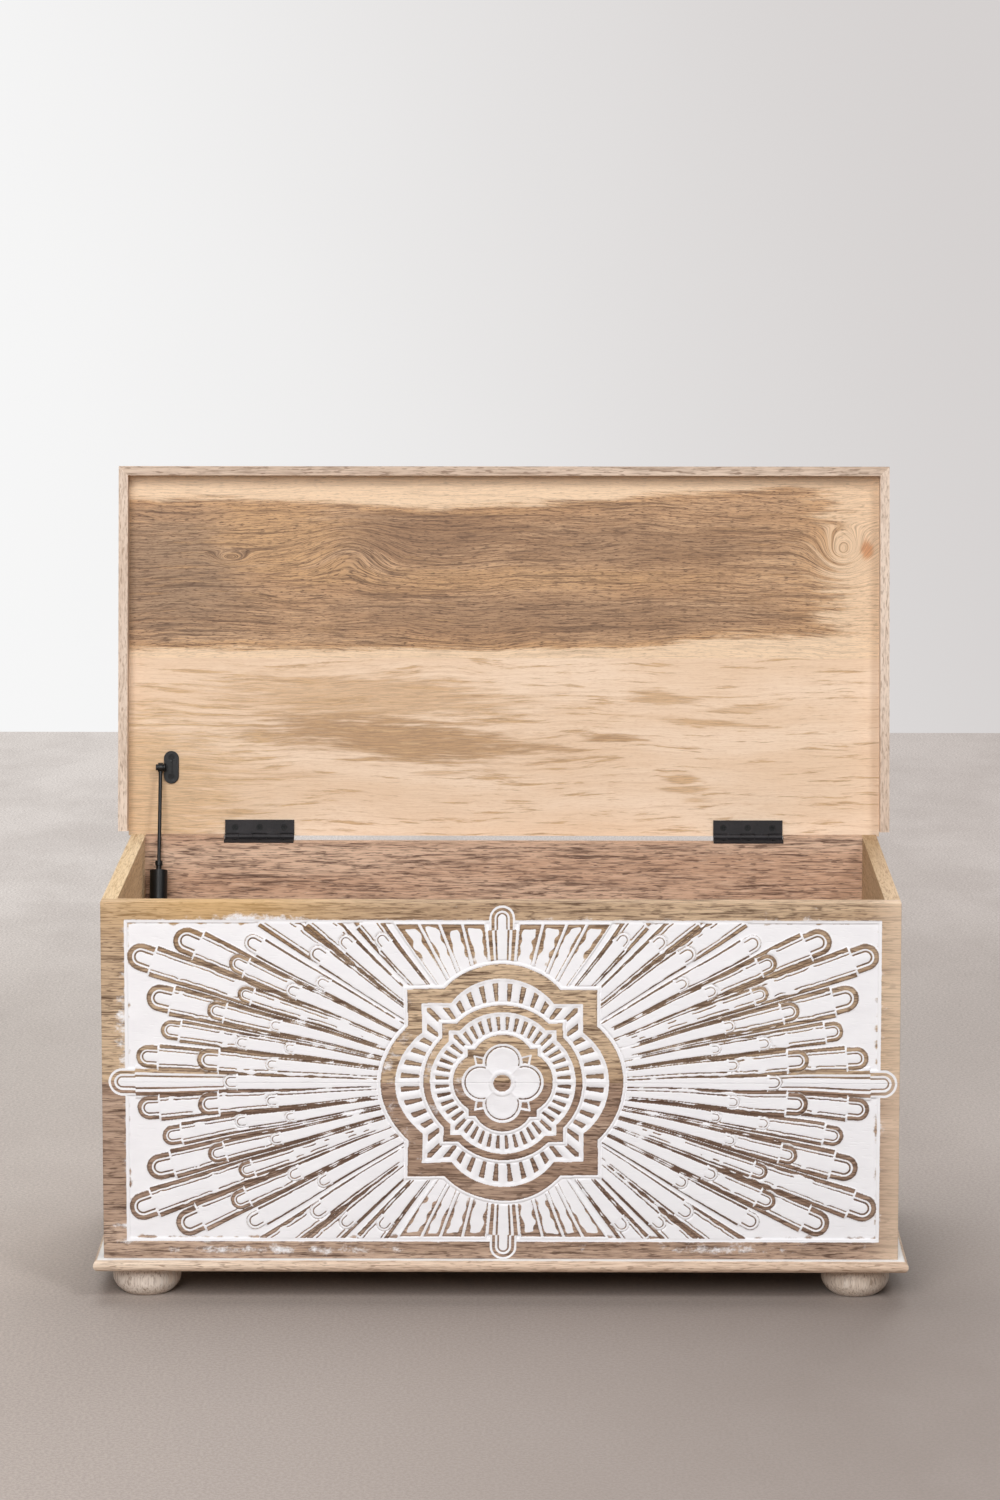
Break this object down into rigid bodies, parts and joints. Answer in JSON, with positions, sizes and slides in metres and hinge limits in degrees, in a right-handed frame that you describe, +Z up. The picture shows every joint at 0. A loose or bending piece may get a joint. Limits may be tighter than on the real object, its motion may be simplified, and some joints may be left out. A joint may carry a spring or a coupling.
{
  "type": "wooden trunk",
  "caption": "Rectangular wooden trunk with a carved, whitewashed sunburst front, bun feet and a rimmed lid that hinges at the back and is held by a strut.",
  "frame": {"origin": "on the floor under the middle of the whole trunk with its lid open", "axes": "+X along the trunk to the right seen from the front, +Y to the back where the hinges are, +Z up"},
  "size_m": [0.8, 0.454, 0.7755],
  "materials": {
    "carved_front": "carved wood, white paint rubbed back to bare brown ridges",
    "wall_wood": "plain brown boards, lightly waxed",
    "floor_wood": "plain plywood",
    "base_wood": "pale wood with rubbed white wash",
    "foot_wood": "turned wood, grey-white wash",
    "dowel_wood": "plain turned dowel",
    "lid_dark_wood": "brown heartwood board with dark grain",
    "lid_pale_wood": "pale sapwood board",
    "rim_wood": "pale washed strip",
    "hinge_black": "black, half matt",
    "strut_black": "black, half matt",
    "rod_steel": "dark, smooth",
    "steel": "plain steel"
  },
  "bodies": {
    "carcass": {"front_upper_board": "carved_front", "front_lower_board": "carved_front", "left_side_upper_board": "wall_wood", "left_side_lower_board": "wall_wood", "right_side_upper_board": "wall_wood", "right_side_lower_board": "wall_wood", "back_upper_board": "wall_wood", "back_lower_board": "wall_wood", "bottom_panel": "floor_wood", "base_front_moulding": "base_wood", "base_back_moulding": "base_wood", "base_left_moulding": "base_wood", "base_right_moulding": "base_wood", "foot_front_left": "foot_wood", "foot_front_right": "foot_wood", "foot_rear_left": "foot_wood", "foot_rear_right": "foot_wood", "foot_bolts": "steel", "front_corner_dowels": "dowel_wood", "rear_corner_dowels": "dowel_wood", "base_screws": "steel", "hinge_left_box_leaf": "hinge_black", "hinge_right_box_leaf": "hinge_black", "hinge_left_pin": "hinge_black", "hinge_right_pin": "hinge_black", "hinge_box_screws": "hinge_black", "strut_wall_bracket": "strut_black", "strut_wall_screws": "strut_black"},
    "lid": {"lid_front_board": "lid_dark_wood", "lid_rear_board": "lid_pale_wood", "lid_front_rim": "rim_wood", "lid_left_rim": "rim_wood", "lid_right_rim": "rim_wood", "lid_rim_nails": "steel", "hinge_left_lid_leaf": "hinge_black", "hinge_right_lid_leaf": "hinge_black", "hinge_lid_screws": "hinge_black", "strut_lid_bracket": "strut_black", "strut_lid_stud": "strut_black", "strut_lid_screws": "strut_black"},
    "strut_rod": {"strut_rod": "rod_steel", "strut_rod_eye": "strut_black", "strut_piston": "strut_black"},
    "strut_cylinder": {"strut_cylinder": "strut_black", "strut_cylinder_nose": "strut_black", "strut_cylinder_eye": "strut_black"}
  },
  "joints": [
    {"name": "lid_hinge", "type": "hinge", "parent": "carcass", "child": "lid", "pos_m": [0, 0.15505, 0.392], "axis": [1, 0, 0], "range_deg": [0, 98]},
    {"name": "strut_swing", "type": "hinge", "parent": "lid", "child": "strut_rod", "pos_m": [-0.3567, 0.15913, 0.46413], "axis": [1, 0, 0], "range_deg": [-79.82, 0]},
    {"name": "strut_slide", "type": "slide", "parent": "strut_rod", "child": "strut_cylinder", "axis": [0, 0.3391, 0.9407], "range_m": [0, 0.09212]}
  ],
  "couplings": [
    {"joint": "strut_swing", "follows": "lid_hinge", "ratio": -0.81395},
    {"joint": "strut_slide", "follows": "lid_hinge", "m_per_rad": 0.05383}
  ]
}
